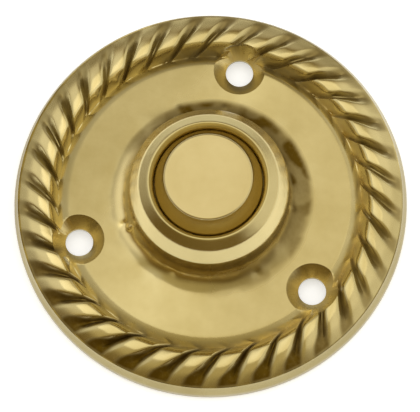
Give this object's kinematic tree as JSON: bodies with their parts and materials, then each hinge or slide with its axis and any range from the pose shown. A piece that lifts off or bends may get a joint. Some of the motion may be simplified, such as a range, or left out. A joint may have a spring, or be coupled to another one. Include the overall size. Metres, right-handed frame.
{
  "type": "doorbell push button",
  "caption": "Round cast brass doorbell push with a roped edge, a coved boss and a sprung brass button over a contact block.",
  "frame": {"origin": "centre of the flat back rim, on the plane that lies against the door", "axes": "+Z out of the door along the button's travel, +Y towards the top screw hole"},
  "size_m": [0.064, 0.064, 0.018],
  "materials": {
    "plate_brass": "polished casting",
    "button_brass": "turned and polished",
    "block_phenolic": "moulded",
    "leaf_bronze": "rolled strip",
    "contact_brass": "rolled strip",
    "terminal_brass": "turned",
    "screw_steel": "zinc plated"
  },
  "bodies": {
    "plate": {"cast_plate": "plate_brass", "contact_block": "block_phenolic", "leaf_contact": "leaf_bronze", "fixed_contact": "contact_brass", "terminal_screws": "terminal_brass", "terminal_washers": "terminal_brass", "terminal_nuts": "terminal_brass", "block_screws": "screw_steel"},
    "button": {"push_button": "button_brass"}
  },
  "joints": [
    {"name": "button_press", "type": "slide", "parent": "plate", "child": "button", "axis": [0, 0, -1], "range_m": [0, 0.0018], "stiffness_N_per_m": 400, "springref_m": -0.002, "deforming": ["leaf_contact"]}
  ]
}
